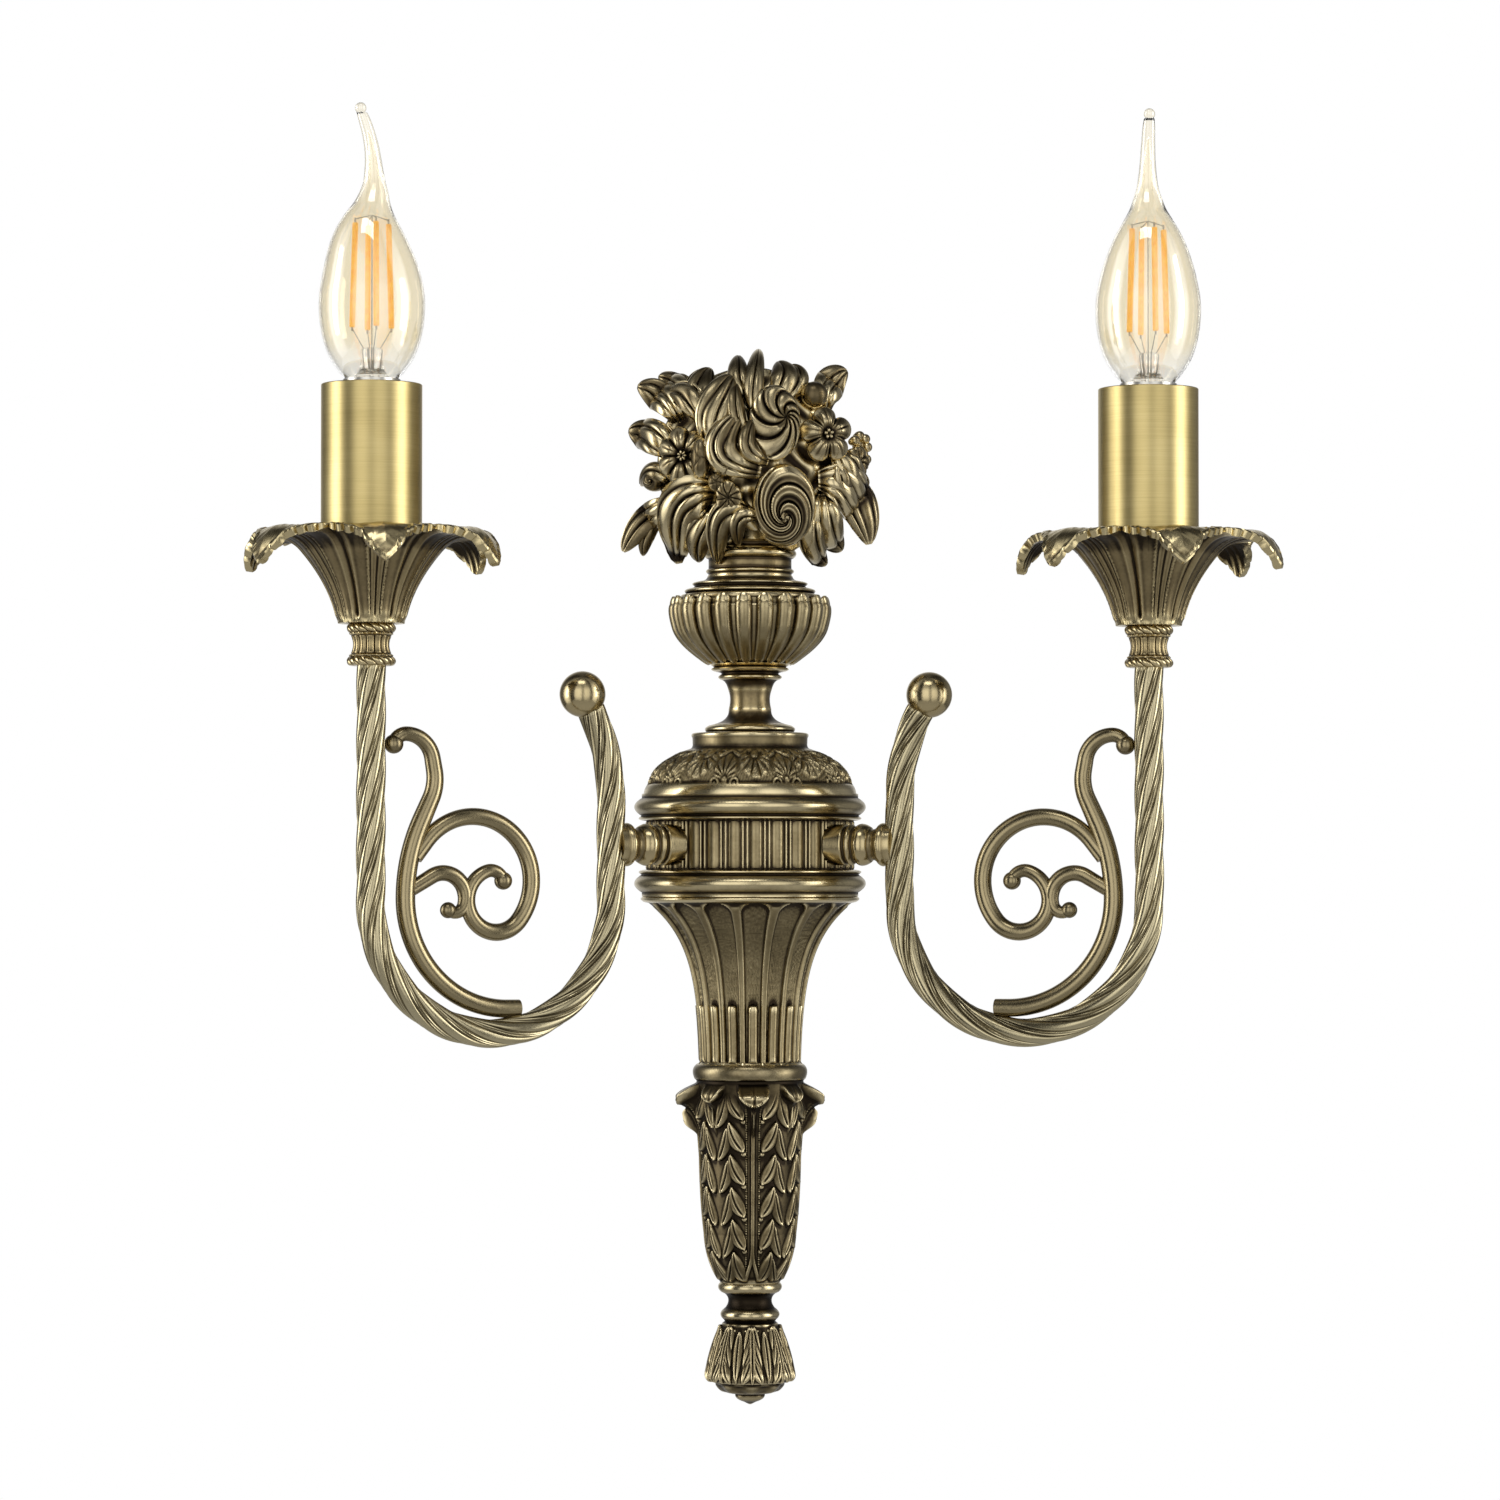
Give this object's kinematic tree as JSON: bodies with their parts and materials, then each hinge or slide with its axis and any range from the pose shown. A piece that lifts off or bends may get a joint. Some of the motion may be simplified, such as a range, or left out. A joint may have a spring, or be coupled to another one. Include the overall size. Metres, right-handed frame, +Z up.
{
  "type": "double arm wall sconce",
  "caption": "Classical brass wall sconce: cast urn and fluted stem with a flower bouquet, twisted U arms with scrolls, leaf cups and candle lights with flame-tip bulbs.",
  "frame": {"origin": "on the wall plane at mid height of the drum, midway between the two wall screw holes", "axes": "+X to the right along the wall as a viewer sees it, +Y into the wall, +Z up"},
  "size_m": [0.341, 0.1192, 0.4354],
  "materials": {
    "cast_brass": "antique brass casting, dark in the recesses and rubbed bright on the edges",
    "flower_brass": "antique brass casting with deep dark recesses",
    "leaf_brass": "antique brass leaf work, stippled ground",
    "turned_brass": "turned antique brass, polished on the crowns",
    "arm_brass": "twisted antique brass rod, dark between the strands",
    "scroll_brass": "smooth antique brass",
    "satin_brass": "satin brass, brushed around",
    "zinc_steel": "zinc-plated steel",
    "cap_metal": "nickel-plated",
    "porcelain": "glazed white",
    "holder_plastic": "black moulding",
    "amber_glass": "thin amber glass",
    "clear_glass": "clear glass",
    "filament": "orange filament strip",
    "wire_cover": "white wire covering"
  },
  "bodies": {
    "root": {"drum": "cast_brass", "dome": "cast_brass", "urn_foot": "turned_brass", "urn": "cast_brass", "bouquet": "flower_brass", "trumpet": "cast_brass", "leaf_sheath": "leaf_brass", "finial": "leaf_brass", "tie_rod": "zinc_steel", "wall_bracket": "zinc_steel", "bracket_screws": "zinc_steel", "terminal_block": "porcelain", "terminal_screws": "zinc_steel", "coupling_left": "turned_brass", "side_nipple_left": "zinc_steel", "side_nut_left": "zinc_steel", "arm_left": "arm_brass", "arm_ball_left": "turned_brass", "scroll_left": "scroll_brass", "collar_left": "turned_brass", "candle_nipple_left": "zinc_steel", "bobeche_left": "leaf_brass", "holder_left": "holder_plastic", "socket_shell_left": "cap_metal", "socket_contact_left": "cap_metal", "lead_left": "wire_cover", "coupling_right": "turned_brass", "side_nipple_right": "zinc_steel", "side_nut_right": "zinc_steel", "arm_right": "arm_brass", "arm_ball_right": "turned_brass", "scroll_right": "scroll_brass", "collar_right": "turned_brass", "candle_nipple_right": "zinc_steel", "bobeche_right": "leaf_brass", "holder_right": "holder_plastic", "socket_shell_right": "cap_metal", "socket_contact_right": "cap_metal", "lead_right": "wire_cover"},
    "sleeve_left": {"candle_sleeve_left": "satin_brass"},
    "bulb_left": {"bulb_cap_left": "cap_metal", "bulb_glass_left": "amber_glass", "bulb_stem_left": "clear_glass", "bulb_filaments_left": "filament"},
    "bulb_tip_left": {"bulb_contact_left": "cap_metal"},
    "sleeve_right": {"candle_sleeve_right": "satin_brass"},
    "bulb_right": {"bulb_cap_right": "cap_metal", "bulb_glass_right": "amber_glass", "bulb_stem_right": "clear_glass", "bulb_filaments_right": "filament"},
    "bulb_tip_right": {"bulb_contact_right": "cap_metal"}
  },
  "joints": [
    {"name": "sleeve_lift_left", "type": "slide", "parent": "root", "child": "sleeve_left", "axis": [0, 0, 1], "range_m": [0, 0.01]},
    {"name": "bulb_travel_left", "type": "slide", "parent": "root", "child": "bulb_tip_left", "axis": [0, 0, 1], "range_m": [0, 0.00847]},
    {"name": "bulb_turn_left", "type": "hinge", "parent": "bulb_tip_left", "child": "bulb_left", "pos_m": [-0.12799, -0.07338, 0.15], "axis": [0, 0, 1], "range_deg": [0, 1080]},
    {"name": "sleeve_lift_right", "type": "slide", "parent": "root", "child": "sleeve_right", "axis": [0, 0, 1], "range_m": [0, 0.01]},
    {"name": "bulb_travel_right", "type": "slide", "parent": "root", "child": "bulb_tip_right", "axis": [0, 0, 1], "range_m": [0, 0.00847]},
    {"name": "bulb_turn_right", "type": "hinge", "parent": "bulb_tip_right", "child": "bulb_right", "pos_m": [0.12799, -0.07338, 0.15], "axis": [0, 0, 1], "range_deg": [0, 1080]}
  ],
  "couplings": [
    {"joint": "bulb_travel_left", "follows": "bulb_turn_left", "m_per_rad": 0.00044914},
    {"joint": "bulb_travel_right", "follows": "bulb_turn_right", "m_per_rad": 0.00044914}
  ]
}
